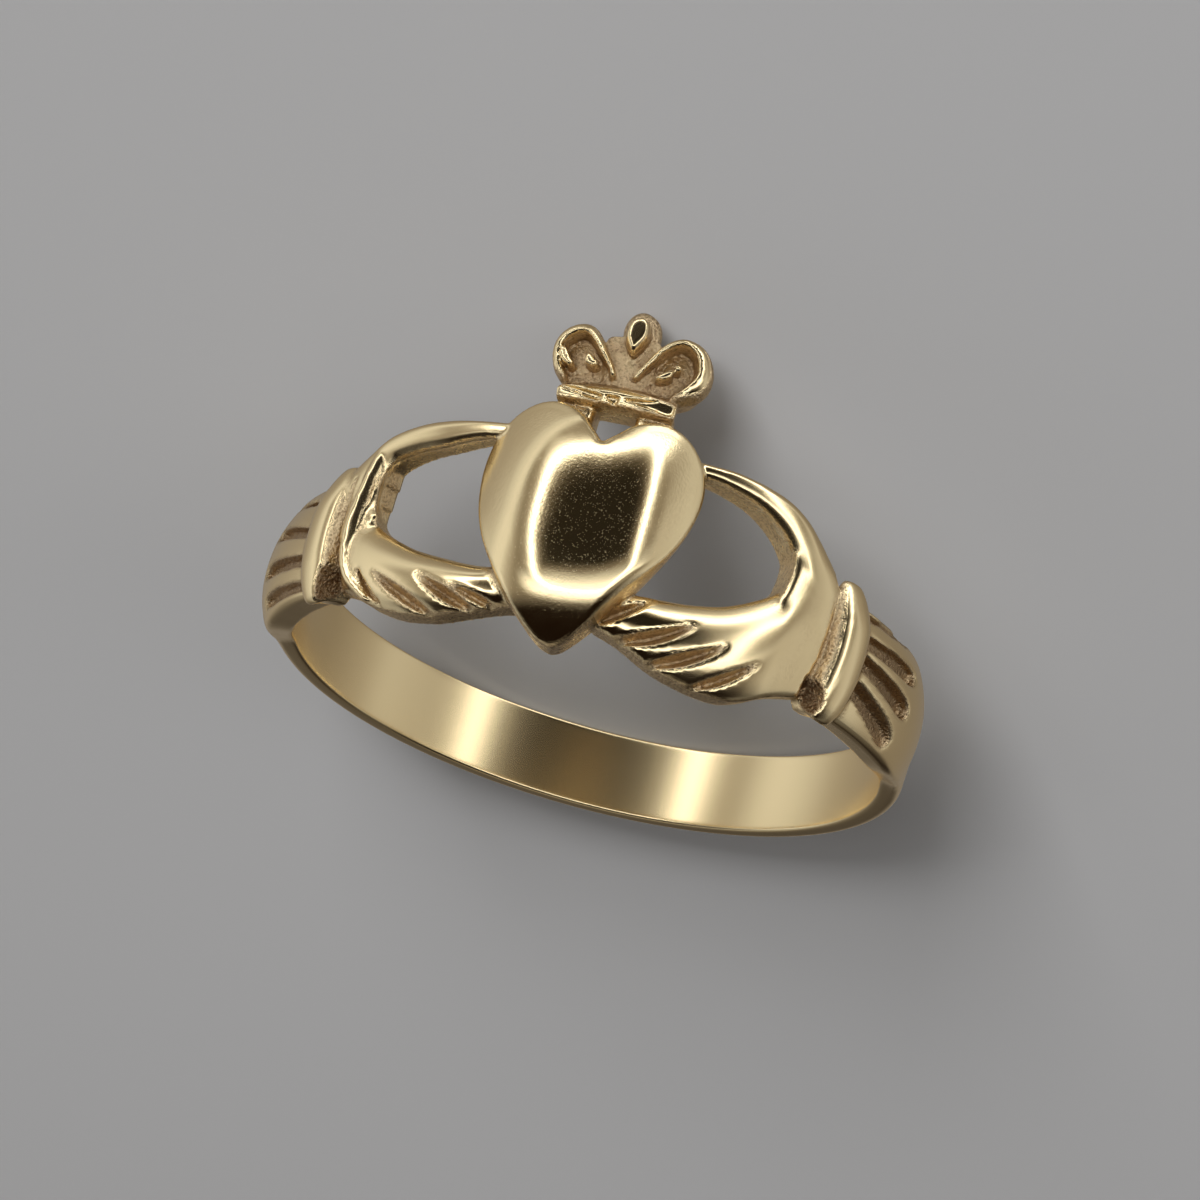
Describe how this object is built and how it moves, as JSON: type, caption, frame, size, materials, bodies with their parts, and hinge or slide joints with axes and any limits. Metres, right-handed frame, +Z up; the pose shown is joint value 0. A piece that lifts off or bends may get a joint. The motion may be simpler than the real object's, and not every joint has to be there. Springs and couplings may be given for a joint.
{
  "type": "claddagh ring",
  "caption": "Cast finger ring whose front shows two cuffed hands holding a domed heart under a crown, pierced beside the heart and over its cleft.",
  "frame": {"origin": "centre of the finger hole, halfway across the band", "axes": "+Z up from the surface that the ring lies on, +Y towards the back of the band and -Y towards the heart, +X across. The crown's tip and the far edge of the band touch the surface, so the finger hole's axis leans 18.9 degrees from +Z towards +Y"},
  "size_m": [0.0191, 0.0209, 0.0098],
  "materials": {
    "gold": "polished"
  },
  "bodies": {
    "root": {"ring": "gold"}
  },
  "joints": []
}
